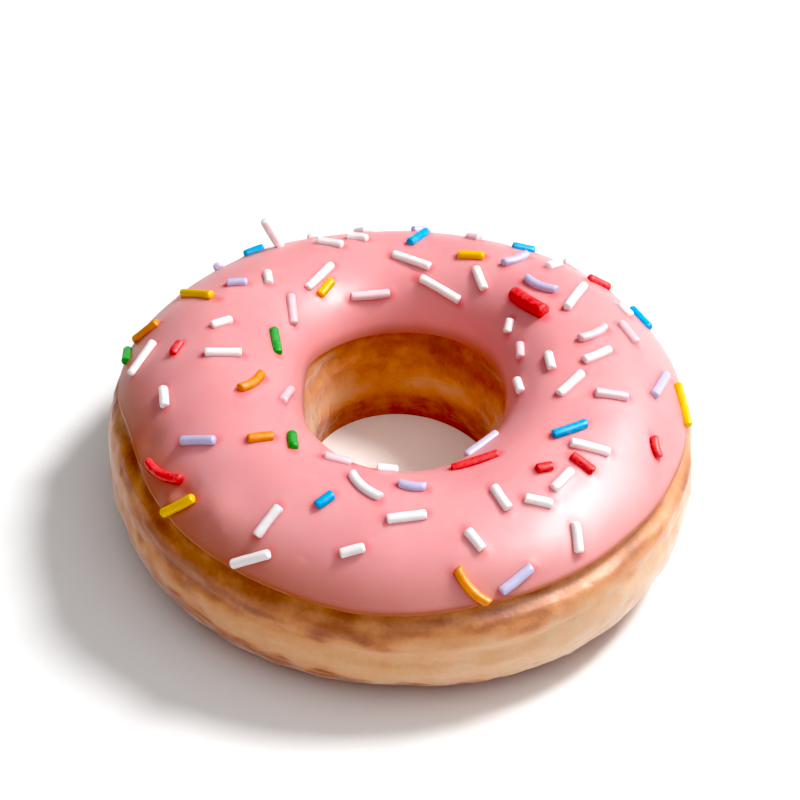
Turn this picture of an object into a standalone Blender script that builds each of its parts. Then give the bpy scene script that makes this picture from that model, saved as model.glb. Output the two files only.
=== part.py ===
"""A frosted ring doughnut with sugar sprinkles, at its real size in metres, +Z up.

Every surface is worked out from one rounded ring. A place on it is a turn round the ring in degrees, from
+X towards +Y, and a tilt across it in degrees: 0 at the crest, up to 180 outside and down to -180 in the
hole, both at the flat base. A depth below the outer skin then gives the point.
"""

import math
import random

import bmesh
import bpy
from mathutils import Matrix, Vector, noise

MM = 0.001

# The ring, cut through: radii and heights of its landmarks, and how square each quarter of the section is.
OUTER_RADIUS = 45.0 * MM
HOLE_RADIUS = 16.4 * MM
CREST_RADIUS = 28.4 * MM
CREST_HEIGHT = 28.7 * MM
WIDEST_HEIGHT = 12.5 * MM
NARROWEST_HEIGHT = 15.6 * MM
BASE_OUTER_RADIUS = 35.2 * MM
BASE_INNER_RADIUS = 17.4 * MM
SHOULDER_POWER = 1.73
BELLY_POWER = 2.46
THROAT_POWER = 2.29
FOOT_POWER = 2.11

# How far the hand-cut ring strays from round: waves per turn, height of the wave, turn of its crest.
OUTER_WAVES = ((2, 1.17 * MM, -40.0), (3, 0.23 * MM, 12.0), (4, 0.31 * MM, 41.0))
HOLE_WAVES = ((1, 0.75 * MM, 31.0), (2, 1.51 * MM, 92.0), (3, 0.25 * MM, -7.0))
HEIGHT_WAVES = ((1, 0.011, 34.0), (2, 0.058, 10.0))

# The icing: a soft coat with rounded lips, whose lips wander up and down the side.
ICING_THICKNESS = 1.5 * MM
ICING_GAP = 0.3 * MM
HOLE_LIP_TILT = -78.0
OUTER_LIP_TILT = 59.8
HOLE_LIP_WAVES = ((3, 1.2, 20.0), (5, 0.8, 75.0))
OUTER_LIP_WAVES = ((4, 1.9, -10.0), (9, 0.5, 25.0))
SHORT_LIP = 6.5
SHORT_LIP_TURN = 194.0
SHORT_LIP_RUN = 14.0
LIP_BULGE = 2.6
SWELL_HEIGHT = 0.3 * MM
SWELL_SIZE = 9.0 * MM

# The dough: it stands back under the lips, then swells out again round a pale, wrinkled waist.
LIP_CLEARANCE = 4.5
SHOULDER_RUN = 8.0
DOUGH_SETBACK = 0.3 * MM
WAIST_TILT = 88.0
WAIST_DEPTH = 0.6 * MM
WAIST_WIDTH = 7.0
WAIST_WAVES = ((3, 4.0, 40.0), (5, 2.5, 130.0))
WRINKLE_DEPTH = 0.5 * MM
WRINKLE_SIZE = 6.5 * MM
FOOT_FADE = 28.0

# How finely the rings are divided.
TURN_STEPS = 68
ICING_TOP_ROWS = 15
COVERED_ROWS = 8
SIDE_ROWS = 15
THROAT_ROWS = 10
ROW_CROWDING = 1.3
LIP_ROWS = 3

# Sprinkles: rods of sugar, pressed a little way into the icing. Lengths are in metres along the rod.
SPRINKLE_RADIUS = 0.72 * MM
SPRINKLE_SIDES = 6
SPRINKLE_SUNK = 0.45 * MM
SPRINKLE_DOME = 0.3 * MM
SPRINKLE_BOW = 0.1
SHORTEST_SPRINKLE = 2.3 * MM
LONGEST_SPRINKLE = 7.6 * MM
USUAL_SPRINKLE = 5.0 * MM
SPRINKLE_SPREAD = 1.4 * MM

# Those that catch the eye, each from one end to the other as turn and tilt, turn and tilt.
STRAIGHT_SPRINKLES = (
    (129, 38, 124, 36), (86, 0, 82, 24), (57, 22, 52, 30), (24, 47, 17, 50), (320, -2, 329, 10),
    (250, 18, 253, 8), (151, 40, 155, 9), (124, -36, 116, -28), (69, -9, 60, -5), (0, 54, -10, 61),
    (218, 59, 223, 43), (164, 56, 163, 39), (223, 5, 227, -9), (180, 24, 176, 20), (33, 29, 31, 42),
    (289, -27, 305, -18), (318, 14, 319, 27), (308, 8, 312, 12), (165, 61, 171, 56), (159, -33, 173, -42),
    (229, -22, 235, -11), (82, -34, 61, -49), (240, 42, 242, 25), (237, 58, 244, 46), (258, 37, 263, 32),
    (262, -36, 270, -38), (184, 7, 184, -15), (92, -12, 78, -24), (127, -28, 113, -15), (336, -13, 347, -3),
    (-8, -3, -2, 13), (321, 9, 326, 27), (308, 21, 315, 19), (301, 18, 306, 27), (210, 31, 217, 18),
    (289, 55, 296, 48), (0, 46, -11, 36), (18, -6, 28, 17),
)
BOWED_SPRINKLES = (
    (205, -9, 196, -29), (281, 42, 286, 60), (338, 40, 335, 47), (206, 52, 219, 42), (255, -11, 265, 5),
    (40, -12, 27, -5), (270, -9, 278, -5),
)
STOUT_SPRINKLE = (39, -28, 17, -20)
STOUT_RADIUS = 1.15 * MM
STANDING_SPRINKLE = (121.5, 27.0)
STANDING_LENGTH = 6.4 * MM
STANDING_LEAN = 25.0

# The rest are strewn evenly: each lands on the emptiest of a few places drawn at random.
STREWN_COUNT = 34
STREWN_SEED = 176
STREWN_TRIES = 16
STREWN_FROM_TILT = -50.0
STREWN_TO_TILT = 52.0
BOWED_SHARE = 0.12


def waves(turn, terms):
    """The sum at one turn of the cosine waves that run round the ring."""
    return sum(height * math.cos(count * math.radians(turn - crest)) for count, height, crest in terms)


def ease(share):
    """A smooth step from 0 to 1."""
    share = min(max(share, 0.0), 1.0)
    return share * share * (3.0 - 2.0 * share)


def section(tilt):
    """Radius and height of the even ring's outer skin at a tilt."""
    level = abs(math.sin(math.radians(tilt)))
    upright = abs(math.cos(math.radians(tilt)))
    if tilt >= 0.0:
        edge_radius, edge_height = OUTER_RADIUS, WIDEST_HEIGHT
        base_radius = BASE_OUTER_RADIUS
        upper_power, lower_power = SHOULDER_POWER, BELLY_POWER
    else:
        edge_radius, edge_height = HOLE_RADIUS, NARROWEST_HEIGHT
        base_radius = BASE_INNER_RADIUS
        upper_power, lower_power = THROAT_POWER, FOOT_POWER
    if abs(tilt) <= 90.0:
        end_radius, end_height, power = CREST_RADIUS, CREST_HEIGHT, upper_power
    else:
        end_radius, end_height, power = base_radius, 0.0, lower_power
    radius = end_radius + (edge_radius - end_radius) * level ** (2.0 / power)
    height = edge_height + (end_height - edge_height) * upright ** (2.0 / power)
    return radius, height


def across(tilt):
    """The run and the rise of the section over one degree of tilt."""
    radius_before, height_before = section(max(tilt - 0.5, -180.0))
    radius_after, height_after = section(min(tilt + 0.5, 180.0))
    return radius_after - radius_before, height_after - height_before


def skin(turn, tilt, depth=0.0):
    """The point at a turn and a tilt, that deep below the outer skin of the uneven ring."""
    run, rise = across(tilt)
    length = math.hypot(run, rise)
    radius, height = section(tilt)
    radius += depth * rise / length
    height -= depth * run / length
    outward = min(max((radius - HOLE_RADIUS) / (OUTER_RADIUS - HOLE_RADIUS), 0.0), 1.0)
    radius += outward * waves(turn, OUTER_WAVES) + (1.0 - outward) * waves(turn, HOLE_WAVES)
    height *= 1.0 + waves(turn, HEIGHT_WAVES)
    angle = math.radians(turn)
    return Vector((radius * math.cos(angle), radius * math.sin(angle), height))


def swell(turn, tilt):
    """How far the soft icing stands above the even skin."""
    return SWELL_HEIGHT * noise.noise(skin(turn, tilt) / SWELL_SIZE)


def coat(turn, tilt, depth=0.0):
    """The point at a turn and a tilt, that deep in the icing."""
    return skin(turn, tilt, depth - swell(turn, tilt))


def lips(turn):
    """The tilts of the icing's lips, in the hole and outside."""
    short = SHORT_LIP * math.exp(-(((turn - SHORT_LIP_TURN) / SHORT_LIP_RUN) ** 2))
    return HOLE_LIP_TILT + waves(turn, HOLE_LIP_WAVES), OUTER_LIP_TILT + waves(turn, OUTER_LIP_WAVES) - short


def tilt_at(turn, station):
    """The tilt at a station: -1 to 0 runs up the hole to its lip, 0 to 1 across the icing, 1 to 2 down the side."""
    hole_lip, outer_lip = lips(turn)
    if station < 0.0:
        return hole_lip + station * (180.0 + hole_lip)
    if station > 1.0:
        return outer_lip + (station - 1.0) * (180.0 - outer_lip)
    return hole_lip + station * (outer_lip - hole_lip)


def ring(name, rows, place):
    """A closed ring: a sheet of rows by turns, wrapped both ways, with its points where place puts them."""
    mesh = bmesh.new()
    bmesh.ops.create_grid(mesh, x_segments=TURN_STEPS, y_segments=len(rows), size=0.5)
    for vert in mesh.verts:
        column = round((vert.co.x + 0.5) * TURN_STEPS) % TURN_STEPS
        row = round((vert.co.y + 0.5) * len(rows)) % len(rows)
        vert.co = place(360.0 * column / TURN_STEPS, rows[row])
    bmesh.ops.remove_doubles(mesh, verts=mesh.verts, dist=0.001 * MM)
    bmesh.ops.recalc_face_normals(mesh, faces=mesh.faces)
    return finished(name, mesh, bpy.context.scene.collection)


def finished(name, mesh, collection):
    """Puts a bmesh into a smooth-shaded object of its own."""
    data = bpy.data.meshes.new(name)
    mesh.to_mesh(data)
    mesh.free()
    data.shade_smooth()
    made = bpy.data.objects.new(name, data)
    collection.objects.link(made)
    return made


def dough_relief(turn, tilt):
    """How deep the bare dough is creased: one wandering groove round the waist, and wrinkles all over."""
    from_waist = abs(tilt) - WAIST_TILT - waves(turn, WAIST_WAVES)
    groove = WAIST_DEPTH * math.exp(-((from_waist / WAIST_WIDTH) ** 2))
    wrinkle = WRINKLE_DEPTH * max(noise.noise(skin(turn, tilt) / WRINKLE_SIZE), 0.0)
    return groove + wrinkle


def dough_point(turn, station):
    """A point of the dough: a gap below the icing where that covers it, and creased where it is bare."""
    tilt = tilt_at(turn, station)
    hole_lip, outer_lip = lips(turn)
    past_lip = max(tilt - outer_lip, hole_lip - tilt)
    bare = ease((past_lip - LIP_CLEARANCE) / SHOULDER_RUN)
    above_foot = ease((180.0 - abs(tilt)) / FOOT_FADE)
    covered_depth = ICING_THICKNESS + ICING_GAP - swell(turn, tilt)
    bare_depth = above_foot * (DOUGH_SETBACK + dough_relief(turn, tilt))
    return skin(turn, tilt, covered_depth + bare * (bare_depth - covered_depth))


def dough():
    """The fried ring, standing on a flat base."""
    throat = [-((row / THROAT_ROWS) ** ROW_CROWDING) for row in range(THROAT_ROWS, 0, -1)]
    covered = [row / COVERED_ROWS for row in range(COVERED_ROWS + 1)]
    side = [1.0 + (row / SIDE_ROWS) ** ROW_CROWDING for row in range(1, SIDE_ROWS + 1)]
    return ring("dough", throat + covered + side, dough_point)


def icing_point(turn, row):
    """A point of the icing, from its station, how far it bulges past the lip, and its depth."""
    station, bulge, depth = row
    return coat(turn, tilt_at(turn, station) + bulge, depth)


def icing():
    """The coat over the ring's top, with half-round lips."""
    turns = [math.pi * row / LIP_ROWS for row in range(1, LIP_ROWS)]
    lip = [(LIP_BULGE * math.sin(a), 0.5 * ICING_THICKNESS * (1.0 - math.cos(a))) for a in turns]
    top = [(row / ICING_TOP_ROWS, 0.0, 0.0) for row in range(ICING_TOP_ROWS + 1)]
    outer_lip = [(1.0, bulge, depth) for bulge, depth in lip]
    under = [(row / COVERED_ROWS, 0.0, ICING_THICKNESS) for row in range(COVERED_ROWS, -1, -1)]
    hole_lip = [(0.0, -bulge, depth) for bulge, depth in reversed(lip)]
    return ring("icing", top + outer_lip + under + hole_lip, icing_point)


def samples(places):
    """The two ends and the middle of a sprinkle that lies from one place to another."""
    turn_a, tilt_a, turn_b, tilt_b = places
    middle = coat(0.5 * (turn_a + turn_b), 0.5 * (tilt_a + tilt_b))
    return coat(turn_a, tilt_a), middle, coat(turn_b, tilt_b)


def drawn_places(draw):
    """A sprinkle of a random length, heading and place, as turn and tilt, turn and tilt."""
    turn = draw.uniform(0.0, 360.0)
    tilt = draw.uniform(STREWN_FROM_TILT, STREWN_TO_TILT)
    heading = draw.uniform(0.0, math.pi)
    length = min(max(draw.gauss(USUAL_SPRINKLE, SPRINKLE_SPREAD), SHORTEST_SPRINKLE), LONGEST_SPRINKLE)
    half_turn = math.degrees(0.5 * length * math.cos(heading) / section(tilt)[0])
    half_tilt = 0.5 * length * math.sin(heading) / math.hypot(*across(tilt))
    return turn - half_turn, tilt - half_tilt, turn + half_turn, tilt + half_tilt


def clearance(places, taken):
    """The distance from a sprinkle to the nearest of the points that are taken."""
    return min((point - other).length for point in samples(places) for other in taken)


def strewn(laid):
    """The sprinkles that fill in between those already laid."""
    draw = random.Random(STREWN_SEED)
    taken = [point for places in laid for point in samples(places)]
    found = []
    for _ in range(STREWN_COUNT):
        tries = [drawn_places(draw) for _ in range(STREWN_TRIES)]
        best = max(tries, key=lambda places: clearance(places, taken))
        taken.extend(samples(best))
        found.append(best)
    return found


def rod(length, radius, bowed):
    """A rod along Z with domed ends, bowed towards Y if asked."""
    mesh = bmesh.new()
    bmesh.ops.create_cone(
        mesh,
        cap_ends=True,
        segments=SPRINKLE_SIDES,
        radius1=radius,
        radius2=radius,
        depth=length - 2.0 * SPRINKLE_DOME,
    )
    ends = [face for face in mesh.faces if abs(face.normal.z) > 0.5]
    bmesh.ops.poke(mesh, faces=ends, offset=SPRINKLE_DOME)
    if bowed:
        everything = mesh.verts[:] + mesh.edges[:] + mesh.faces[:]
        bmesh.ops.bisect_plane(mesh, geom=everything, plane_no=(0.0, 0.0, 1.0))
        for vert in mesh.verts:
            vert.co.y -= SPRINKLE_BOW * length * (2.0 * vert.co.z / length) ** 2
        bmesh.ops.recalc_face_normals(mesh, faces=mesh.faces)
    return mesh


def sprinkle(name, collection, centre, along, upward, length, radius=SPRINKLE_RADIUS, bowed=False):
    """One rod, centred there, lying along one direction with its back up."""
    along = along.normalized()
    sideways = along.cross(upward).normalized()
    basis = Matrix((sideways.cross(along), sideways, along)).transposed()
    mesh = rod(length, radius, bowed)
    mesh.transform(Matrix.Translation(centre) @ basis.to_4x4())
    return finished(name, mesh, collection)


def lying_sprinkle(name, collection, places, radius, bowed):
    """A sprinkle pressed into the icing from one place to another."""
    start, middle, end = samples(places)
    turn, tilt = 0.5 * (places[0] + places[2]), 0.5 * (places[1] + places[3])
    outward = (coat(turn, tilt + 1.0) - coat(turn, tilt - 1.0)).cross(coat(turn + 1.0, tilt) - coat(turn - 1.0, tilt))
    outward.normalize()
    length = min(max((end - start).length, SHORTEST_SPRINKLE), LONGEST_SPRINKLE)
    centre = middle + (radius - SPRINKLE_SUNK) * outward
    return sprinkle(name, collection, centre, end - start, outward, length, radius, bowed)


def standing_sprinkle(name, collection):
    """The one that stands on end in the icing, leaning to the left."""
    lean = math.radians(STANDING_LEAN)
    along = Vector((-math.sin(lean), 0.0, math.cos(lean)))
    foot = coat(*STANDING_SPRINKLE)
    centre = foot + (0.5 * STANDING_LENGTH - SPRINKLE_RADIUS) * along
    return sprinkle(name, collection, centre, along, Vector((0.0, 1.0, 0.0)), STANDING_LENGTH)


def sprinkles():
    """All the sprinkles, in a collection of their own."""
    collection = bpy.data.collections.new("sprinkles")
    bpy.context.scene.collection.children.link(collection)
    laid = [(places, SPRINKLE_RADIUS, False) for places in STRAIGHT_SPRINKLES]
    laid += [(places, SPRINKLE_RADIUS, True) for places in BOWED_SPRINKLES]
    laid.append((STOUT_SPRINKLE, STOUT_RADIUS, False))
    every = max(round(1.0 / BOWED_SHARE), 1)
    for index, places in enumerate(strewn([places for places, _, _ in laid])):
        laid.append((places, SPRINKLE_RADIUS, index % every == 0))
    for index, (places, radius, bowed) in enumerate(laid):
        lying_sprinkle(f"sprinkle_{index:03d}", collection, places, radius, bowed)
    standing_sprinkle("sprinkle_standing", collection)
    return collection


def fuse(body, collection):
    """Joins every object of the collection to the body in one solid, then removes them."""
    union = body.modifiers.new("sprinkles", "BOOLEAN")
    union.operation = "UNION"
    union.operand_type = "COLLECTION"
    union.collection = collection
    union.solver = "EXACT"
    graph = bpy.context.evaluated_depsgraph_get()
    fused = bpy.data.meshes.new_from_object(body.evaluated_get(graph))
    body.modifiers.clear()
    body.data = fused
    for piece in list(collection.objects):
        bpy.data.objects.remove(piece)
    bpy.data.collections.remove(collection)


def material(name, colour, roughness):
    """A plain surface of one colour."""
    made = bpy.data.materials.new(name)
    made.use_nodes = True
    shader = made.node_tree.nodes["Principled BSDF"]
    shader.inputs["Base Color"].default_value = (*colour, 1.0)
    shader.inputs["Metallic"].default_value = 0.0
    shader.inputs["Roughness"].default_value = roughness
    return made


def dress(piece, made):
    """Gives a piece one material all over."""
    piece.data.materials.clear()
    piece.data.materials.append(made)


def main():
    for old in list(bpy.data.objects):
        bpy.data.objects.remove(old)
    fried_ring = dough()
    dress(fried_ring, material("fried dough", (0.62, 0.36, 0.17), 0.6))
    frosting = icing()
    fuse(frosting, sprinkles())
    dress(frosting, material("pink icing", (0.90, 0.42, 0.44), 0.35))


main()
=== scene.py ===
import math
import random

import bmesh
import bpy
from mathutils import Matrix, Vector, kdtree, noise


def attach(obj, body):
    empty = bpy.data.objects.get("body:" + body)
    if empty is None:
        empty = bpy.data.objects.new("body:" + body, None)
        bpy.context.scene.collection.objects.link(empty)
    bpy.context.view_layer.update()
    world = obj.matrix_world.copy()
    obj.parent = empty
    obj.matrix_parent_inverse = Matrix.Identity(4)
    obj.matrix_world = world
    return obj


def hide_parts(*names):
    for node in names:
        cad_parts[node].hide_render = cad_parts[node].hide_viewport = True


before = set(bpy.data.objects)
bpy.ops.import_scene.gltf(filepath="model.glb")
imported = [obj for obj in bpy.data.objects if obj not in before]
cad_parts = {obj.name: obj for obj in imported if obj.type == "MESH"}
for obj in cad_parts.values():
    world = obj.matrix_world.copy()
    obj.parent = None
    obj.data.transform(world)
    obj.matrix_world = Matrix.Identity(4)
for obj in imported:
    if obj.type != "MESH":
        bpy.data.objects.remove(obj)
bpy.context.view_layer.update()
MM = 0.001


# The fried ring: yeast dough cut by hand and fried on both sides, so it is brown above and below, with a
# pale proof line round the waist where it floated. Its rounded section wavers as it goes round, and its
# skin is creased and lightly blistered by the fat.

# A place on the skin is a turn round the ring and a tilt across it, in degrees: 0 at the crest, up to 180
# outside and down to -180 in the hole, both at the flat base.
OUTER_RADIUS = 45.0 * MM
HOLE_RADIUS = 16.4 * MM
CREST_RADIUS = 28.4 * MM
CREST_HEIGHT = 28.7 * MM
WIDEST_HEIGHT = 12.5 * MM
NARROWEST_HEIGHT = 15.6 * MM
BASE_OUTER_RADIUS = 35.2 * MM
BASE_INNER_RADIUS = 17.4 * MM
SHOULDER_POWER = 1.73
BELLY_POWER = 2.46
THROAT_POWER = 2.29
FOOT_POWER = 2.11

# Waves round the ring: how many, how high, and the turn of a crest.
OUTER_WAVES = ((2, 1.17 * MM, -40.0), (3, 0.23 * MM, 12.0), (4, 0.31 * MM, 41.0))
HOLE_WAVES = ((1, 0.75 * MM, 31.0), (2, 1.51 * MM, 92.0), (3, 0.25 * MM, -7.0))
HEIGHT_WAVES = ((1, 0.011, 34.0), (2, 0.058, 10.0))


def waves(turn, terms):
    """The sum at one turn of the cosine waves that run round the ring."""
    return sum(height * math.cos(count * math.radians(turn - crest)) for count, height, crest in terms)


def ease(share):
    """A smooth step from 0 to 1."""
    share = min(max(share, 0.0), 1.0)
    return share * share * (3.0 - 2.0 * share)


def section(tilt):
    """Radius and height of the even ring's outer skin at a tilt."""
    level = abs(math.sin(math.radians(tilt)))
    upright = abs(math.cos(math.radians(tilt)))
    if tilt >= 0.0:
        edge_radius, edge_height = OUTER_RADIUS, WIDEST_HEIGHT
        base_radius = BASE_OUTER_RADIUS
        upper_power, lower_power = SHOULDER_POWER, BELLY_POWER
    else:
        edge_radius, edge_height = HOLE_RADIUS, NARROWEST_HEIGHT
        base_radius = BASE_INNER_RADIUS
        upper_power, lower_power = THROAT_POWER, FOOT_POWER
    if abs(tilt) <= 90.0:
        end_radius, end_height, power = CREST_RADIUS, CREST_HEIGHT, upper_power
    else:
        end_radius, end_height, power = base_radius, 0.0, lower_power
    radius = end_radius + (edge_radius - end_radius) * level ** (2.0 / power)
    height = edge_height + (end_height - edge_height) * upright ** (2.0 / power)
    return radius, height


def across(tilt):
    """The run and the rise of the section over one degree of tilt."""
    radius_before, height_before = section(max(tilt - 0.5, -180.0))
    radius_after, height_after = section(min(tilt + 0.5, 180.0))
    return radius_after - radius_before, height_after - height_before


def skin(turn, tilt, depth=0.0):
    """The point at a turn and a tilt, that deep below the outer skin of the uneven ring."""
    run, rise = across(tilt)
    length = math.hypot(run, rise)
    radius, height = section(tilt)
    radius += depth * rise / length
    height -= depth * run / length
    outward = min(max((radius - HOLE_RADIUS) / (OUTER_RADIUS - HOLE_RADIUS), 0.0), 1.0)
    radius += outward * waves(turn, OUTER_WAVES) + (1.0 - outward) * waves(turn, HOLE_WAVES)
    height *= 1.0 + waves(turn, HEIGHT_WAVES)
    angle = math.radians(turn)
    return Vector((radius * math.cos(angle), radius * math.sin(angle), height))


# Where the icing covers the dough, and how far its soft swells lift it.
ICING_THICKNESS = 1.5 * MM
ICING_GAP = 0.3 * MM
HOLE_LIP_TILT = -78.0
OUTER_LIP_TILT = 59.8
HOLE_LIP_WAVES = ((3, 1.2, 20.0), (5, 0.8, 75.0))
OUTER_LIP_WAVES = ((4, 1.9, -10.0), (9, 0.5, 25.0))
SWELL_HEIGHT = 0.3 * MM
SWELL_SIZE = 9.0 * MM

# On the left the outer lip runs short: by how much at most, where, and over how far each way.
SHORT_LIP = 6.5
SHORT_LIP_TURN = 194.0
SHORT_LIP_RUN = 14.0

# The share of the icing's width over which it thins out to a lip, and its share of thickness there.
LIP_TAPER = 0.1
HOLE_LIP_SHARE = 0.25
OUTER_LIP_SHARE = 0.5


def thickness(station):
    """How thick the icing is at a station: it thins out at its lips, most of all in the hole."""
    hole_share = HOLE_LIP_SHARE + (1.0 - HOLE_LIP_SHARE) * ease(station / LIP_TAPER)
    outer_share = OUTER_LIP_SHARE + (1.0 - OUTER_LIP_SHARE) * ease((1.0 - station) / LIP_TAPER)
    return ICING_THICKNESS * hole_share * outer_share


def swell(turn, tilt):
    """How far the soft icing stands above the even skin."""
    return SWELL_HEIGHT * noise.noise(skin(turn, tilt) / SWELL_SIZE)


def lips(turn):
    """The tilts of the icing's lips, in the hole and outside."""
    hole_lip = HOLE_LIP_TILT + waves(turn, HOLE_LIP_WAVES)
    short = SHORT_LIP * math.exp(-(((turn - SHORT_LIP_TURN) / SHORT_LIP_RUN) ** 2))
    outer_lip = OUTER_LIP_TILT + waves(turn, OUTER_LIP_WAVES) - short
    return hole_lip, outer_lip


def tilt_at(turn, station):
    """The tilt at a station.

    Stations run from -1 at the base up the hole to 0 at the icing's lip there, across the icing to 1 at
    its outer lip, and down the side to 2 at the base."""
    hole_lip, outer_lip = lips(turn)
    if station < 0.0:
        return hole_lip + station * (180.0 + hole_lip)
    if station > 1.0:
        return outer_lip + (station - 1.0) * (180.0 - outer_lip)
    return hole_lip + station * (outer_lip - hole_lip)


# The large relief, then the small relief that the fat leaves on the crust.
LIP_CLEARANCE = 4.5
SHOULDER_RUN = 8.0
DOUGH_SETBACK = 0.3 * MM
WAIST_TILT = 88.0
WAIST_DEPTH = 0.6 * MM
WAIST_WIDTH = 7.0
WAIST_WAVES = ((3, 4.0, 40.0), (5, 2.5, 130.0))
WRINKLE_DEPTH = 0.5 * MM
WRINKLE_SIZE = 6.5 * MM
FOOT_FADE = 28.0
CREASE_DEPTH = 0.12 * MM
CREASE_LENGTH = 7.0 * MM
CREASE_WIDTH_TILT = 6.5
CREASE_SHARPNESS = 4.0
LUMP_HEIGHT = 0.14 * MM
LUMP_SIZE = 2.4 * MM
BLISTER_HEIGHT = 0.14 * MM
BLISTER_SPACING = 4.6 * MM
BLISTER_SHARE = 0.35
BLISTER_RADIUS = 0.2
BLISTER_SHUFFLE = 7.0

# A pinched fold and a dimple in the hole: turn and tilt, depth, and half widths over turn and tilt.
DENTS = ((96.0, -93.0, 0.55 * MM, 5.0, 15.0), (122.0, -103.0, 0.3 * MM, 5.0, 3.5))


def streak(turn, tilt, length, width_tilt):
    """A cloudy value from -1 to 1 whose patches run along the ring."""
    around = OUTER_RADIUS / length
    angle = math.radians(turn)
    return noise.noise(Vector((around * math.cos(angle), around * math.sin(angle), tilt / width_tilt)))


def patches(turn, tilt, rows):
    """The sum at a place of soft round patches, each a turn and a tilt, a height, and two half widths."""
    result = 0.0
    for middle_turn, middle_tilt, height, half_turn, half_tilt in rows:
        turn_off = (turn - middle_turn) / half_turn
        tilt_off = (tilt - middle_tilt) / half_tilt
        result += height * math.exp(-(turn_off**2) - tilt_off**2)
    return result


def blister(point):
    """0 to 1 up the side of the nearest small blister."""
    distances, middles = noise.voronoi(point / BLISTER_SPACING)
    raised = noise.cell(BLISTER_SHUFFLE * middles[0]) < BLISTER_SHARE
    return ease(1.0 - distances[0] / BLISTER_RADIUS) if raised else 0.0


def dough_relief(turn, tilt):
    """How deep the bare dough is creased: one wandering groove round the waist, and wrinkles all over."""
    place = skin(turn, tilt)
    from_waist = abs(tilt) - WAIST_TILT - waves(turn, WAIST_WAVES)
    groove = WAIST_DEPTH * math.exp(-((from_waist / WAIST_WIDTH) ** 2))
    wrinkle = WRINKLE_DEPTH * max(noise.noise(place / WRINKLE_SIZE), 0.0)
    from_crease = abs(streak(turn, tilt, CREASE_LENGTH, CREASE_WIDTH_TILT))
    crease = CREASE_DEPTH * max(1.0 - CREASE_SHARPNESS * from_crease, 0.0)
    lump = LUMP_HEIGHT * noise.noise(place / LUMP_SIZE)
    return groove + wrinkle + crease + patches(turn, tilt, DENTS) - lump - BLISTER_HEIGHT * blister(place)


def dough_point(turn, station):
    """A point of the dough: a gap below the icing where that covers it, and creased where it is bare."""
    tilt = tilt_at(turn, station)
    hole_lip, outer_lip = lips(turn)
    past_lip = max(tilt - outer_lip, hole_lip - tilt)
    bare = ease((past_lip - LIP_CLEARANCE) / SHOULDER_RUN)
    above_foot = ease((180.0 - abs(tilt)) / FOOT_FADE)
    covered_depth = thickness(station) + ICING_GAP - swell(turn, tilt)
    bare_depth = above_foot * (DOUGH_SETBACK + dough_relief(turn, tilt))
    return skin(turn, tilt, covered_depth + bare * (bare_depth - covered_depth))


# The pale proof line: its middle, its half width, and how softly it turns brown above and below, in degrees
# of tilt. In the hole it comes and goes. Its edges are ragged, and brown streaks run along the ring.
PALE_TILT = 100.0
PALE_TILT_WAVES = ((1, 9.5, 350.0),)
PALE_WIDTH = 13.5
PALE_WIDTH_WAVES = ((1, 11.0, 325.0), (2, 5.0, 325.0))
PALE_UPPER_EDGE = 18.0
PALE_LOWER_EDGE = 9.0

# Where the crust is pale above that line too, partly as a painted reflection: turn and tilt, strength, and
# half widths.
PALE_CRUST_AND_REFLECTION_PATCHES = ((191.0, 79.0, 0.8, 15.0, 11.0),)

# The same line in the hole, and how brown the crust is there, with painted shade on the hole's right and
# back walls, then at the foot, on the shoulder and at least.
THROAT_PALE_TILT = 119.0
THROAT_PALE_WIDTH = 8.0
THROAT_PALE_EDGE = 20.0
THROAT_PALE_STRENGTH = 0.4
THROAT_PALE_WAVES = ((1, 0.2, 150.0), (5, 0.3, 66.0))
THROAT_BROWN = 0.64
THROAT_SHADE_WAVES = ((1, 0.2, 40.0), (2, 0.14, 70.0))
FOOT_TILT = 120.0
FOOT_RUN = 20.0
SHOULDER_BROWN = 0.85
SHOULDER_BROWN_WAVES = ((1, 0.18, 210.0),)
LEAST_BROWN = 0.14
LEAST_BROWN_WAVES = ((1, 0.19, 212.0), (2, 0.12, 218.0))
RAGGED = 10.0
RAGGED_SIZE = 4.2 * MM
STREAK_BROWNING = 0.26
PALE_STREAK_SHARE = 0.35
THROAT_STREAK_SHARE = 0.35
THROAT_RAGGED_SHARE = 0.5
STREAK_LENGTH = 6.0 * MM
STREAK_WIDTH_TILT = 5.5


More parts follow.
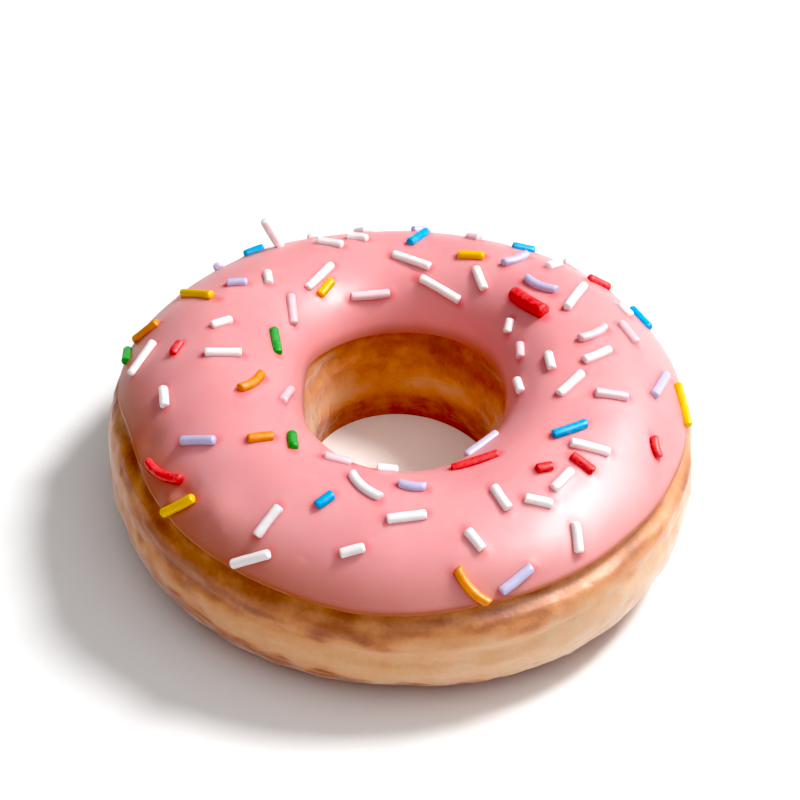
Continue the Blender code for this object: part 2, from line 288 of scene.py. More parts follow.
def browning_and_painted_light(turn, station):
    """How brown the crust is fried, 0 on the proof line and 1 on the flats and under the icing, with some
    painted light.
    """
    tilt = tilt_at(turn, station)
    ragged = RAGGED * noise.noise(skin(turn, tilt) / RAGGED_SIZE)
    streaked = STREAK_BROWNING * streak(turn, tilt, STREAK_LENGTH, STREAK_WIDTH_TILT)
    if tilt < 0.0:
        # Painted shade: the crust runs browner on the hole's right and back walls.
        top = THROAT_BROWN + waves(turn, THROAT_SHADE_WAVES)
        browned = top + (1.0 - top) * ease((THROAT_RAGGED_SHARE * ragged - tilt - FOOT_TILT) / FOOT_RUN)
        past = abs(THROAT_RAGGED_SHARE * ragged - tilt - THROAT_PALE_TILT) - THROAT_PALE_WIDTH
        strength = max(THROAT_PALE_STRENGTH + waves(turn, THROAT_PALE_WAVES), 0.0)
        pale = strength * (1.0 - ease(past / THROAT_PALE_EDGE + 0.5))
        return browned * (1.0 - pale) + THROAT_STREAK_SHARE * streaked
    above = tilt + ragged - PALE_TILT - waves(turn, PALE_TILT_WAVES)
    past = abs(above) - PALE_WIDTH - waves(turn, PALE_WIDTH_WAVES)
    browned = ease(past / (PALE_UPPER_EDGE if above < 0.0 else PALE_LOWER_EDGE) + 0.5)
    least = LEAST_BROWN + waves(turn, LEAST_BROWN_WAVES)
    most = SHOULDER_BROWN + waves(turn, SHOULDER_BROWN_WAVES) if above < 0.0 else 1.0
    # Paler on the left rim: partly paler crust, partly a painted reflection.
    most *= 1.0 - patches(turn, tilt, PALE_CRUST_AND_REFLECTION_PATCHES)
    return least + browned * (most - least) + streaked * (PALE_STREAK_SHARE + browned)


def hollow_shade(turn, station):
    """How deep a place lies in the creases of the crust, about 0 to 1; the crust is darkened by it there as
    painted shade.
    """
    return min(max(dough_relief(turn, tilt_at(turn, station)) / WRINKLE_DEPTH, 0.0), 1.0)


WELD_DISTANCE = 0.001 * MM


def ring(name, steps, rows, place, marks):
    """A closed ring: a sheet of rows by turns, wrapped both ways, with its points where place puts them.

    Each mark is kept on the points as an attribute of its name."""
    mesh = bmesh.new()
    bmesh.ops.create_grid(mesh, x_segments=steps, y_segments=len(rows), size=0.5)
    layers = {mark: mesh.verts.layers.float.new(mark) for mark in marks}
    for vert in mesh.verts:
        turn = 360.0 * (round((vert.co.x + 0.5) * steps) % steps) / steps
        row = rows[round((vert.co.y + 0.5) * len(rows)) % len(rows)]
        vert.co = place(turn, row)
        for mark, measure in marks.items():
            vert[layers[mark]] = measure(turn, row)
    bmesh.ops.remove_doubles(mesh, verts=mesh.verts, dist=WELD_DISTANCE)
    bmesh.ops.recalc_face_normals(mesh, faces=mesh.faces)
    return finished(name, mesh)


def finished(name, mesh):
    """Puts a bmesh into a smooth-shaded object of its own."""
    data = bpy.data.meshes.new(name)
    mesh.to_mesh(data)
    mesh.free()
    data.shade_smooth()
    made = bpy.data.objects.new(name, data)
    bpy.context.scene.collection.objects.link(made)
    return made


def node(tree, kind, sockets=None, **settings):
    """A node with its settings made and each named socket set to a value or fed from another node."""
    made = tree.nodes.new(kind)
    for name, value in settings.items():
        setattr(made, name, value)
    for name, value in (sockets or {}).items():
        if isinstance(value, bpy.types.NodeSocket):
            tree.links.new(value, made.inputs[name])
        else:
            made.inputs[name].default_value = value
    return made


def ramp(tree, share, stops):
    """A colour that runs through the stops, each a position and a colour."""
    made = node(tree, "ShaderNodeValToRGB", {"Fac": share})
    elements = made.color_ramp.elements
    while len(elements) < len(stops):
        elements.new(1.0)
    for element, (position, colour) in zip(elements, stops):
        element.position = position
        element.color = (*colour, 1.0)
    return made.outputs["Color"]


def speckle(tree, place, scale, detail=2.0):
    """A cloudy noise from 0 to 1 with that many cells to the metre."""
    sockets = {"Vector": place, "Scale": scale, "Detail": detail}
    return node(tree, "ShaderNodeTexNoise", sockets).outputs["Fac"]


def spread(tree, value, low, high, to_low, to_high):
    """The value with its range low to high stretched over to_low to to_high, and held there."""
    sockets = {"Value": value, "From Min": low, "From Max": high, "To Min": to_low, "To Max": to_high}
    return node(tree, "ShaderNodeMapRange", sockets).outputs["Result"]


def clouded(tree, place, layer):
    """A layer of cloudy noise: its cells to the metre, its detail, and its range before and after."""
    scale, detail, low, high, to_low, to_high = layer
    return spread(tree, speckle(tree, place, scale, detail), low, high, to_low, to_high)


def reckon(tree, operation, first, second):
    """One step of arithmetic on two values."""
    return node(tree, "ShaderNodeMath", {0: first, 1: second}, operation=operation).outputs["Value"]


def total(tree, *values):
    """The sum of the values."""
    result = values[0]
    for value in values[1:]:
        result = reckon(tree, "ADD", result, value)
    return result


def surface(name):
    """A new material, with its tree, its shader and the place on the object to paint by."""
    made = bpy.data.materials.new(name)
    made.use_nodes = True
    tree = made.node_tree
    place = node(tree, "ShaderNodeTexCoord").outputs["Object"]
    return made, tree, tree.nodes["Principled BSDF"], place


def set_finish(shader, settings):
    """Sets what is the same all over a material, each on the shader's own socket."""
    for socket, value in settings.items():
        shader.inputs[socket].default_value = value


def relief(tree, *layers):
    """The normal under layers of bumps, each a height from 0 to 1 and what that height is in metres."""
    normal = None
    for height, size in layers:
        sockets = {"Height": height, "Distance": size, "Strength": 1.0}
        if normal:
            sockets["Normal"] = normal
        normal = node(tree, "ShaderNodeBump", sockets).outputs["Normal"]
    return normal


PALE_CRUST = (0.80, 0.58, 0.415)
TAN_CRUST = (0.79, 0.465, 0.265)
GOLDEN_CRUST = (0.72, 0.33, 0.16)
BROWN_CRUST = (0.465, 0.185, 0.105)
DARK_CRUST = (0.37, 0.155, 0.09)
CRUST_STOPS = (
    (0.0, PALE_CRUST),
    (0.3, TAN_CRUST),
    (0.62, GOLDEN_CRUST),
    (0.88, BROWN_CRUST),
    (1.0, DARK_CRUST),
)

# How the browning shifts the colour, and how the creases darken it as painted shade: the range of the mark,
# and of the shift.
BROWNING_SHIFT = (-0.1, 1.2, 0.02, 0.96)
CREASE_SHADE_SHIFT = (0.3, 1.6, 0.0, 0.16)

# Blotches and freckles that shift the colour, and patches of grease that change the shine: the cells to the
# metre, the detail, the range of the noise, and the range that it becomes.
BLOTCHES = (300.0, 4.0, 0.3, 0.7, -0.08, 0.08)
FRECKLES = (1500.0, 3.0, 0.35, 0.65, -0.03, 0.03)
GREASE = (260.0, 3.0, 0.35, 0.65, 0.42, 0.6)
PORE_SCALE = 1900.0
PORE_DETAIL = 3.0
PORE_DEPTH = 0.07 * MM
GRAIN_SCALE = 5200.0
GRAIN_DEPTH = 0.012 * MM
CRUST_FINISH = {
    "Subsurface Weight": 0.35,
    "Subsurface Radius": (1.0, 0.42, 0.18),
    "Subsurface Scale": 2.0 * MM,
    "IOR": 1.45,
    "Coat Weight": 0.25,
    "Coat Roughness": 0.38,
    "Coat IOR": 1.45,
    "Sheen Weight": 0.7,
    "Sheen Roughness": 0.3,
    "Sheen Tint": (0.98, 0.93, 1.0, 1.0),
}


def fried_crust():
    """Crust that goes from the pale proof line to brown, mottled, pored and lightly greasy, with painted
    shade in its creases.
    """
    made, tree, shader, place = surface("fried_crust")
    browning_and_light_mark = node(tree, "ShaderNodeAttribute", attribute_name="browning_and_painted_light").outputs["Fac"]
    crease = node(tree, "ShaderNodeAttribute", attribute_name="hollow_shade").outputs["Fac"]
    blotches = clouded(tree, place, BLOTCHES)
    freckles = clouded(tree, place, FRECKLES)
    browned = spread(tree, browning_and_light_mark, *BROWNING_SHIFT)
    # Painted shade: the creases darken the crust's colour.
    crease_shade = spread(tree, crease, *CREASE_SHADE_SHIFT)
    colour = ramp(tree, total(tree, browned, blotches, freckles, crease_shade), CRUST_STOPS)
    tree.links.new(colour, shader.inputs["Base Color"])
    tree.links.new(clouded(tree, place, GREASE), shader.inputs["Roughness"])
    pores = speckle(tree, place, PORE_SCALE, PORE_DETAIL)
    grain = speckle(tree, place, GRAIN_SCALE)
    tree.links.new(relief(tree, (pores, PORE_DEPTH), (grain, GRAIN_DEPTH)), shader.inputs["Normal"])
    set_finish(shader, CRUST_FINISH)
    return made


DOUGH_STEPS = 600
COVERED_ROWS = 40
DOUGH_SIDE_ROWS = 72
DOUGH_THROAT_ROWS = 52
ROW_CROWDING = 1.15

throat = [-((row / DOUGH_THROAT_ROWS) ** ROW_CROWDING) for row in range(DOUGH_THROAT_ROWS, 0, -1)]
covered = [row / COVERED_ROWS for row in range(COVERED_ROWS + 1)]
side = [1.0 + (row / DOUGH_SIDE_ROWS) ** ROW_CROWDING for row in range(1, DOUGH_SIDE_ROWS + 1)]
dough_marks = {"browning_and_painted_light": browning_and_painted_light, "hollow_shade": hollow_shade}
dough = ring("fried_dough", DOUGH_STEPS, throat + covered + side, dough_point, dough_marks)
dough.data.materials.append(fried_crust())
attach(dough, "root")
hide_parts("dough")


# The sprinkles: short rods of coloured sugar with blunt ends, some bowed. They were strewn while the icing
# was soft, so each lies sunk in it by a third of its thickness. Each colour is one piece.

SPRINKLE_RADIUS = 0.72 * MM
SPRINKLE_SUNK = 0.45 * MM
SPRINKLE_BOW = 0.1
SHORTEST_SPRINKLE = 2.3 * MM
LONGEST_SPRINKLE = 7.6 * MM
USUAL_SPRINKLE = 5.0 * MM
SPRINKLE_SPREAD = 1.4 * MM

# The eye-catching ones, placed one by one: the turn and the tilt of one end, then of the other.
STRAIGHT_SPRINKLES = {
    "blue": (
        (129, 38, 124, 36),
        (86, 0, 82, 24),
        (57, 22, 52, 30),
        (24, 47, 17, 50),
        (320, -2, 329, 10),
        (250, 18, 253, 8),
    ),
    "yellow": (
        (151, 40, 155, 9),
        (124, -36, 116, -28),
        (69, -9, 60, -5),
        (0, 54, -10, 61),
        (218, 59, 223, 43),
    ),
    "orange": ((164, 56, 163, 39), (223, 5, 227, -9)),
    "red": (
        (180, 24, 176, 20),
        (33, 29, 31, 42),
        (289, -27, 305, -18),
        (318, 14, 319, 27),
        (308, 8, 312, 12),
    ),
    "green": ((165, 61, 171, 56), (159, -33, 173, -42), (229, -22, 235, -11)),
    "white": (
        (82, -34, 61, -49),
        (240, 42, 242, 25),
        (237, 58, 244, 46),
        (258, 37, 263, 32),
        (262, -36, 270, -38),
        (184, 7, 184, -15),
        (92, -12, 78, -24),
        (127, -28, 113, -15),
        (336, -13, 347, -3),
        (-8, -3, -2, 13),
        (321, 9, 326, 27),
        (308, 21, 315, 19),
        (301, 18, 306, 27),
        (18, -6, 28, 17),
    ),
    "lilac": ((210, 31, 217, 18), (289, 55, 296, 48), (0, 46, -11, 36)),
}
BOWED_SPRINKLES = {
    "orange": ((205, -9, 196, -29), (281, 42, 286, 60)),
    "red": ((338, 40, 335, 47), (206, 52, 219, 42)),
    "white": ((255, -11, 265, 5),),
    "lilac": ((40, -12, 27, -5), (270, -9, 278, -5)),
}
STOUT_SPRINKLE = ("red", (39, -28, 17, -20))
STOUT_RADIUS = 1.15 * MM
STANDING_SPRINKLE = (121.5, 27.0)
STANDING_LENGTH = 6.4 * MM
STANDING_LEAN = 25.0

# The rest fall evenly between them, each where it is clearest of the others out of a few tries.
STREWN_COUNT = 34
STREWN_SEED = 176
STREWN_TRIES = 16
STREWN_FROM_TILT = -50.0
STREWN_TO_TILT = 52.0
BOWED_EVERY = 8
PALE_COLOURS = ("white", "white", "pale_pink", "white", "lilac", "white", "pale_pink")
BRIGHT_COLOURS = ("blue", "yellow", "green", "red", "orange")
BRIGHT_SPACING = 15.0 * MM


def coat(turn, tilt, depth=0.0):
    """The point at a turn and a tilt, that deep in the icing."""
    return skin(turn, tilt, depth - swell(turn, tilt))


def samples(places):
    """The two ends and the middle of a sprinkle that lies from one place to another."""
    turn_a, tilt_a, turn_b, tilt_b = places
    middle = coat(0.5 * (turn_a + turn_b), 0.5 * (tilt_a + tilt_b))
    return coat(turn_a, tilt_a), middle, coat(turn_b, tilt_b)


def drawn_places(draw):
    """A sprinkle of a random length, heading and place, as turn and tilt, turn and tilt."""
    turn = draw.uniform(0.0, 360.0)
    tilt = draw.uniform(STREWN_FROM_TILT, STREWN_TO_TILT)
    heading = draw.uniform(0.0, math.pi)
    length = min(max(draw.gauss(USUAL_SPRINKLE, SPRINKLE_SPREAD), SHORTEST_SPRINKLE), LONGEST_SPRINKLE)
    half_turn = math.degrees(0.5 * length * math.cos(heading) / section(tilt)[0])
    half_tilt = 0.5 * length * math.sin(heading) / math.hypot(*across(tilt))
    return turn - half_turn, tilt - half_tilt, turn + half_turn, tilt + half_tilt


def clearance(places, taken):
    """The distance from a sprinkle to the nearest of the points that are taken."""
    return min((point - other).length for point in samples(places) for other in taken)


def strewn(laid):
    """The sprinkles that fill in between those already laid."""
    draw = random.Random(STREWN_SEED)
    taken = [point for places in laid for point in samples(places)]
    found = []
    for _ in range(STREWN_COUNT):
        tries = [drawn_places(draw) for _ in range(STREWN_TRIES)]
        best = max(tries, key=lambda places: clearance(places, taken))
        taken.extend(samples(best))
        found.append(best)
    return found


def coloured():
    """Every lying sprinkle: its colour, its places, its radius, and whether it is bowed."""
    laid = []
    for kinds, bowed in ((STRAIGHT_SPRINKLES, False), (BOWED_SPRINKLES, True)):
        for colour, rows in kinds.items():
            laid += [(colour, places, SPRINKLE_RADIUS, bowed) for places in rows]
    laid.append((*STOUT_SPRINKLE, STOUT_RADIUS, False))
    bright = [samples(places)[1] for colour, places, _, _ in laid if colour in BRIGHT_COLOURS]
    for index, places in enumerate(strewn([places for _, places, _, _ in laid])):
        middle = samples(places)[1]
        if min((middle - other).length for other in bright) > BRIGHT_SPACING:
            colour = BRIGHT_COLOURS[index % len(BRIGHT_COLOURS)]
            bright.append(middle)
        else:
            colour = PALE_COLOURS[index % len(PALE_COLOURS)]
        laid.append((colour, places, SPRINKLE_RADIUS, index % BOWED_EVERY == 0))
    return laid


ROD_SIDES = 14
ROD_CUTS = 7
END_ROUNDING = 0.32 * MM
END_STEPS = 3
WOBBLE = 0.04 * MM
WOBBLE_SIZE = 1.6 * MM
SLIGHT_BOW = 0.018
WOBBLE_SEED = 5
SLOPE_STEP = 1.0


def lengthwise(mesh, length):
    """The edges that run along a rod of that length."""
    return [edge for edge in mesh.edges if abs(edge.verts[0].co.z - edge.verts[1].co.z) > 0.5 * length]


def rod(length, radius, bow, along_noise):
    """A blunt rod along Z, bowed towards Y, a little uneven along its length."""
    mesh = bmesh.new()
    bmesh.ops.create_cone(
        mesh,
        cap_ends=True,
        segments=ROD_SIDES,
        radius1=radius,
        radius2=radius,
        depth=length,
    )
    sides = lengthwise(mesh, length)
    rims = [edge for edge in mesh.edges if edge not in sides]
    bmesh.ops.bevel(
        mesh,
        geom=rims,
        offset=END_ROUNDING,
        segments=END_STEPS,
        profile=0.5,
        affect="EDGES",
        material=-1,
    )
    bmesh.ops.subdivide_edges(
        mesh,
        edges=lengthwise(mesh, length),
        cuts=ROD_CUTS,
        use_grid_fill=True,
    )
    for vert in mesh.verts:
        shift = WOBBLE * noise.noise_vector((vert.co + along_noise) / WOBBLE_SIZE)
        vert.co += Vector((shift.x, shift.y, 0.0))
        vert.co.y -= bow * length * (2.0 * vert.co.z / length) ** 2
    bmesh.ops.recalc_face_normals(mesh, faces=mesh.faces)
    return mesh


def add_sprinkle(heap, draw, centre, along, upward, length, radius=SPRINKLE_RADIUS, bowed=False):
    """Adds one rod to the heap, centred there, lying along one direction with its back up."""
    along = along.normalized()
    sideways = along.cross(upward).normalized()
    basis = Matrix((sideways.cross(along), sideways, along)).transposed()
    bow = SPRINKLE_BOW if bowed else draw.uniform(-SLIGHT_BOW, SLIGHT_BOW)
    mesh = rod(length, radius, bow, Vector((0.0, 0.0, draw.random())))
    mesh.transform(Matrix.Translation(centre) @ basis.to_4x4())
    one = bpy.data.meshes.new("rod")
    mesh.to_mesh(one)
    mesh.free()
    heap.from_mesh(one)
    bpy.data.meshes.remove(one)


def lay_sprinkle(heap, draw, places, radius, bowed):
    """Presses a sprinkle into the icing from one place to another."""
    start, middle, end = samples(places)
    turn, tilt = 0.5 * (places[0] + places[2]), 0.5 * (places[1] + places[3])
    across_ring = coat(turn, tilt + SLOPE_STEP) - coat(turn, tilt - SLOPE_STEP)
    along_ring = coat(turn + SLOPE_STEP, tilt) - coat(turn - SLOPE_STEP, tilt)
    outward = across_ring.cross(along_ring).normalized()
    length = min(max((end - start).length, SHORTEST_SPRINKLE), LONGEST_SPRINKLE)
    centre = middle + (radius - SPRINKLE_SUNK) * outward
    add_sprinkle(heap, draw, centre, end - start, outward, length, radius, bowed)


def stand_sprinkle(heap, draw):
    """Stands one on end in the icing, leaning to the left."""
    lean = math.radians(STANDING_LEAN)
    along = Vector((-math.sin(lean), 0.0, math.cos(lean)))
    centre = coat(*STANDING_SPRINKLE) + (0.5 * STANDING_LENGTH - SPRINKLE_RADIUS) * along
    add_sprinkle(heap, draw, centre, along, Vector((0.0, 1.0, 0.0)), STANDING_LENGTH)


SUGAR_COLOURS = {
    "white": (0.95, 0.88, 0.885),
    "pale_pink": (0.90, 0.62, 0.67),
    "lilac": (0.61, 0.58, 0.80),
    "blue": (0.004, 0.45, 0.84),
    "yellow": (0.91, 0.55, 0.004),
    "orange": (0.90, 0.32, 0.035),
    "red": (0.84, 0.07, 0.075),
    "green": (0.065, 0.43, 0.085),
}
SUGAR_PALING = 0.08
SUGAR_MOTTLE = (1300.0, 2.0, 0.35, 0.7, 0.0, 1.0)
SUGAR_GRAIN_SCALE = 4200.0
SUGAR_GRAIN_DEPTH = 0.02 * MM
SUGAR_FINISH = {
    "Roughness": 0.4,
    "Subsurface Weight": 0.4,
    "Subsurface Radius": (1.0, 1.0, 1.0),
    "Subsurface Scale": 0.35 * MM,
}


def sugar(name, colour):
    """Pressed sugar of one colour, faintly mottled and grainy, with a soft shine."""
    made, tree, shader, place = surface(f"{name}_sugar")
    paled = [channel + SUGAR_PALING * (1.0 - channel) for channel in colour]
    mottle = clouded(tree, place, SUGAR_MOTTLE)
    tree.links.new(ramp(tree, mottle, ((0.0, colour), (1.0, paled))), shader.inputs["Base Color"])
    grain = speckle(tree, place, SUGAR_GRAIN_SCALE)
    tree.links.new(relief(tree, (grain, SUGAR_GRAIN_DEPTH)), shader.inputs["Normal"])
    set_finish(shader, SUGAR_FINISH)
    return made


heaps = {colour: bmesh.new() for colour in SUGAR_COLOURS}
draw = random.Random(WOBBLE_SEED)
noise.seed_set(WOBBLE_SEED)
lying = coloured()
for colour, places, radius, bowed in lying:
    lay_sprinkle(heaps[colour], draw, places, radius, bowed)
stand_sprinkle(heaps["white"], draw)
for colour, heap in heaps.items():
    piece = finished(f"sprinkles_{colour}", heap)
    piece.data.materials.append(sugar(colour, SUGAR_COLOURS[colour]))
    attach(piece, "root")
    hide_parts("icing")


# The icing: a coat of pink sugar icing that the ring was dipped in, so it is smooth, and thins out to soft
# rounded lips, on the side and in the hole. It is slightly see-through, and wets the foot of each sprinkle.

LIP_BULGE = 2.6
ICING_STEPS = 480
ICING_TOP_ROWS = 96
LIP_ROWS = 9
MENISCUS_HEIGHT = 0.14 * MM
MENISCUS_REACH = 1.5 * MM
ROD_SAMPLES = 12

# Soft lumps, a crease and a pit in the icing: turn and tilt, height, and radius.
ICING_MARKS = (
    (230.0, 42.0, 0.75 * MM, 3.0 * MM),
    (233.0, 47.0, 0.18 * MM, 0.6 * MM),
    (217.0, 52.0, 0.35 * MM, 1.4 * MM),
    (220.0, 45.0, -0.5 * MM, 2.0 * MM),
    (202.0, 44.0, -0.5 * MM, 2.2 * MM),
    (251.0, 43.0, -0.14 * MM, 0.5 * MM),
)

wetted = kdtree.KDTree(len(lying) * (ROD_SAMPLES + 1))
for index, (_, places, _, _) in enumerate(lying):
    for step in range(ROD_SAMPLES + 1):
        share = step / ROD_SAMPLES
        turn = places[0] + share * (places[2] - places[0])
        tilt = places[1] + share * (places[3] - places[1])
        wetted.insert(coat(turn, tilt), index * (ROD_SAMPLES + 1) + step)
wetted.balance()
marked = [(coat(turn, tilt), height, radius) for turn, tilt, height, radius in ICING_MARKS]


def icing_point(turn, row):
    """A point of the icing, from its station, how far it bulges past the lip, and its depth."""
    station, bulge, depth = row
    point = coat(turn, tilt_at(turn, station) + bulge, depth)
    if depth > 0.0:
        return point
    near = ease(1.0 - wetted.find(point)[2] / MENISCUS_REACH)
    raised = 0.0
    for middle, height, radius in marked:
        raised += height * math.exp(-(((point - middle).length / radius) ** 2))
    return coat(turn, tilt_at(turn, station) + bulge, -MENISCUS_HEIGHT * near - raised)


# The last share of the icing's width over which it looks thin, and how thin it looks there; down the
# shoulder, most on the front left, the tan is painted shade.
OUTER_THINNING = 0.015
HOLE_THINNING = 0.08
HOLE_THINNESS = 0.65
SHOULDER_SHADE_RUN = 0.23
SHOULDER_SHADE = 0.34
SHOULDER_SHADE_WAVES = ((1, 0.36, 212.0), (2, 0.12, 212.0))


def thinness_and_shade(turn, row):
    """How far the icing is tinted tan: 1 at its thin outer lip, less in the hole and, as painted shade,
    down the shoulder; 0 on top.
    """
    station, _, depth = row
    if depth > 0.0:
        return 1.0 if station > 0.5 else HOLE_THINNESS
    # Painted shade: the shoulder darkens towards tan, most on the front left.
    shoulder_shade = SHOULDER_SHADE + waves(turn, SHOULDER_SHADE_WAVES)
    shoulder_shade *= ease((station - 1.0 + SHOULDER_SHADE_RUN) / SHOULDER_SHADE_RUN)
    outer = shoulder_shade + (1.0 - shoulder_shade) * ease((station - 1.0 + OUTER_THINNING) / OUTER_THINNING)
    return outer + HOLE_THINNESS * ease((HOLE_THINNING - station) / HOLE_THINNING)


SPRINKLE_SHADE_REACH = 1.5 * MM


def sprinkle_shade(turn, row):
    """How close to a sprinkle a place on the icing is, which paints shade round each sprinkle: 1 under it,
    0 away from it.
    """
    station, _, depth = row
    if depth > 0.0:
        return 0.0
    return ease(1.0 - wetted.find(coat(turn, tilt_at(turn, station)))[2] / SPRINKLE_SHADE_REACH)


ICING_PINK = (0.89, 0.405, 0.42)
ICING_DEEP_PINK = (0.86, 0.365, 0.385)
ICING_SHADE_PINK = (0.84, 0.22, 0.24)
ICING_THIN_LIP_AND_SHADE_TAN = (0.50, 0.18, 0.10)
ICING_CLOUDS = (110.0, 3.0, 0.35, 0.65, 0.0, 1.0)
ICING_RIPPLE_SCALE = 320.0
ICING_RIPPLE_DEPTH = 0.03 * MM
ICING_FINISH = {
    "Roughness": 0.48,
    "Coat Weight": 0.42,
    "Coat Roughness": 0.34,
    "Coat IOR": 1.45,
    "Subsurface Weight": 0.65,
    "Subsurface Radius": (1.0, 0.26, 0.22),
    "Subsurface Scale": 1.6 * MM,
    "IOR": 1.45,
}

# The places of a mixing node's sockets for colours, which share their names with those for numbers.
MIX_SHARE = 0
MIX_UNDER = 6
MIX_OVER = 7
MIX_RESULT = 2


def tinted(tree, share, under, over):
    """The under colour, turned to the over colour by that share."""
    sockets = {MIX_SHARE: share, MIX_UNDER: under, MIX_OVER: (*over, 1.0)}
    return node(tree, "ShaderNodeMix", sockets, data_type="RGBA").outputs[MIX_RESULT]


def pink_icing():
    """Satin pink icing, a little see-through, faintly clouded, with painted shade: deeper pink beside the
    sprinkles and tan down its shoulder.
    """
    made, tree, shader, place = surface("pink_icing")
    thin_and_shaded = node(tree, "ShaderNodeAttribute", attribute_name="thinness_and_shade").outputs["Fac"]
    sprinkle_shade_mark = node(tree, "ShaderNodeAttribute", attribute_name="sprinkle_shade").outputs["Fac"]
    pink = ramp(tree, clouded(tree, place, ICING_CLOUDS), ((0.0, ICING_DEEP_PINK), (1.0, ICING_PINK)))
    # Painted shade: deeper pink beside the sprinkles.
    pink = tinted(tree, sprinkle_shade_mark, pink, ICING_SHADE_PINK)
    # The tan is the thin lips, and painted shade down the front-left shoulder.
    pink = tinted(tree, thin_and_shaded, pink, ICING_THIN_LIP_AND_SHADE_TAN)
    tree.links.new(pink, shader.inputs["Base Color"])
    ripples = speckle(tree, place, ICING_RIPPLE_SCALE)
    tree.links.new(relief(tree, (ripples, ICING_RIPPLE_DEPTH)), shader.inputs["Normal"])
    set_finish(shader, ICING_FINISH)
    return made


# Each row of the icing is a station, how many degrees it bulges past the lip, and its depth.
angles = [math.pi * row / LIP_ROWS for row in range(1, LIP_ROWS)]
lip = [(LIP_BULGE * math.sin(a), 0.5 * ICING_THICKNESS * (1.0 - math.cos(a))) for a in angles]
top = [(row / ICING_TOP_ROWS, 0.0, 0.0) for row in range(ICING_TOP_ROWS + 1)]
outer_edge = [(1.0, OUTER_LIP_SHARE * bulge, OUTER_LIP_SHARE * depth) for bulge, depth in lip]
under = [(station, 0.0, thickness(station)) for station in reversed(covered)]
hole_edge = [(0.0, -HOLE_LIP_SHARE * bulge, HOLE_LIP_SHARE * depth) for bulge, depth in reversed(lip)]
icing_marks = {"thinness_and_shade": thinness_and_shade, "sprinkle_shade": sprinkle_shade}
icing = ring("pink_icing", ICING_STEPS, top + outer_edge + under + hole_edge, icing_point, icing_marks)
icing.data.materials.append(pink_icing())
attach(icing, "root")
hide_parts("icing")


# The studio: a wide white floor, a round soft lamp behind to the right, two beside it that only add shine,
# one strong and one wide and faint, and a pale sky that is brightest overhead.

FLOOR_RADIUS = 4.0
FLOOR_SIDES = 96
FLOOR_FINISH = {
    "Base Color": (0.93, 0.93, 0.93, 1.0),
    "Roughness": 0.8,
    "Specular IOR Level": 0.1,
}
LAMP_DISTANCE = 0.6
KEY_DIRECTION = Vector((0.51, 0.255, 0.822)).normalized()
KEY_SIZE = 0.15
KEY_POWER = 3.15
GLOSS_DIRECTION = Vector((0.66, -0.17, 0.74)).normalized()
GLOSS_SIZE = 0.22
GLOSS_POWER = 5.2
WINDOW_DIRECTION = Vector((0.80, 0.24, 0.56)).normalized()
WINDOW_SIZE = 0.3
WINDOW_POWER = 1.6

# Soft patches of the sky: azimuth and elevation in degrees, and strength.
SKY_PATCHES = (
    (0, 90, 0.62),
    (0, 50, 0.25),
    (60, 50, 0.04),
    (180, 50, 0.28),
    (240, 50, 0.52),
    (300, 50, 0.64),
    (0, 15, 0.19),
    (300, 15, 0.38),
)
SKY_PATCH_POWER = 6.0
BLACK_LEVEL = (0.08, 0.08, 0.08)

sheet = bmesh.new()
bmesh.ops.create_circle(sheet, cap_ends=True, segments=FLOOR_SIDES, radius=FLOOR_RADIUS)
floor = finished("floor", sheet)
floor_paint = bpy.data.materials.new("floor_paint")
floor_paint.use_nodes = True
set_finish(floor_paint.node_tree.nodes["Principled BSDF"], FLOOR_FINISH)
floor.data.materials.append(floor_paint)


def round_lamp(name, direction, size, power):
    """A round soft lamp that shines on the doughnut from that direction."""
    data = bpy.data.lights.new(name, "AREA")
    data.shape = "DISK"
    data.size = size
    data.energy = power
    lamp = bpy.data.objects.new(name, data)
    lamp.location = direction * LAMP_DISTANCE
    lamp.rotation_euler = direction.to_track_quat("Z", "Y").to_euler()
    bpy.context.scene.collection.objects.link(lamp)
    return lamp


round_lamp("key", KEY_DIRECTION, KEY_SIZE, KEY_POWER).visible_glossy = False
round_lamp("gloss", GLOSS_DIRECTION, GLOSS_SIZE, GLOSS_POWER).visible_diffuse = False
round_lamp("window", WINDOW_DIRECTION, WINDOW_SIZE, WINDOW_POWER).visible_diffuse = False

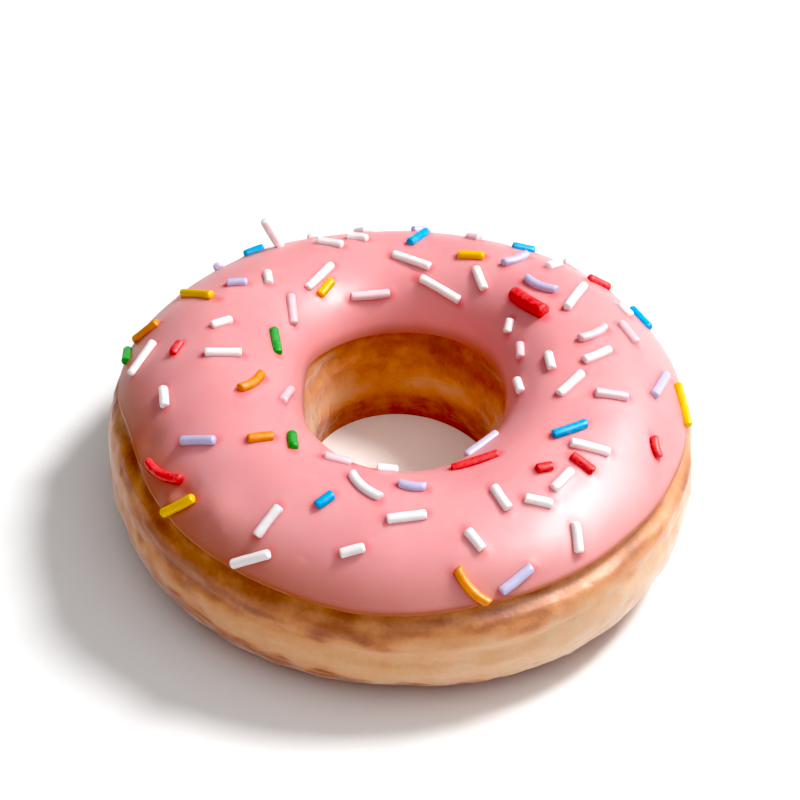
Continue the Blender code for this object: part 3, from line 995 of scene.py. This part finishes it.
sky = bpy.data.worlds.new("sky")
sky.use_nodes = True
sky_tree = sky.node_tree
way = node(sky_tree, "ShaderNodeTexCoord").outputs["Generated"]
glows = []
for azimuth, elevation, strength in SKY_PATCHES:
    level = math.cos(math.radians(elevation))
    middle = Vector((
        level * math.cos(math.radians(azimuth)),
        level * math.sin(math.radians(azimuth)),
        math.sin(math.radians(elevation)),
    ))
    facing = node(sky_tree, "ShaderNodeVectorMath", {0: way, 1: middle}, operation="DOT_PRODUCT")
    above = reckon(sky_tree, "MAXIMUM", facing.outputs["Value"], 0.0)
    glow = reckon(sky_tree, "POWER", above, SKY_PATCH_POWER)
    glows.append(reckon(sky_tree, "MULTIPLY", glow, strength))
background = sky_tree.nodes["Background"]
background.inputs["Color"].default_value = (1.0, 1.0, 1.0, 1.0)
sky_tree.links.new(total(sky_tree, *glows), background.inputs["Strength"])
bpy.context.scene.world = sky

viewing = bpy.context.scene.view_settings
viewing.view_transform = "Standard"
viewing.use_curve_mapping = True
viewing.curve_mapping.black_level = BLACK_LEVEL
viewing.curve_mapping.update()


# The camera: a long lens that looks down on the ring from the front.

PICTURE_SIDE = 800
CAMERA_PITCH = 41.46
CAMERA_DISTANCE = 280.0 * MM
CAMERA_TARGET = Vector((0.0, 0.0, 14.0 * MM))
PIXELS_PER_MM_AT_TARGET = 6.554
SENSOR_WIDTH = 36.0
CENTRE_COLUMN = 397.9
CENTRE_ROW = 427.8
NEAR_CLIP = 10.0 * MM

pitch = math.radians(CAMERA_PITCH)
camera_data = bpy.data.cameras.new("camera")
camera_data.sensor_width = SENSOR_WIDTH
camera_data.lens = PIXELS_PER_MM_AT_TARGET * CAMERA_DISTANCE / MM * SENSOR_WIDTH / PICTURE_SIDE
camera_data.shift_x = (0.5 * PICTURE_SIDE - CENTRE_COLUMN) / PICTURE_SIDE
camera_data.shift_y = (CENTRE_ROW - 0.5 * PICTURE_SIDE) / PICTURE_SIDE
camera_data.clip_start = NEAR_CLIP
camera = bpy.data.objects.new("camera", camera_data)
camera.location = CAMERA_TARGET + CAMERA_DISTANCE * Vector((0.0, -math.cos(pitch), math.sin(pitch)))
camera.rotation_euler = (0.5 * math.pi - pitch, 0.0, 0.0)
bpy.context.scene.collection.objects.link(camera)
bpy.context.scene.camera = camera
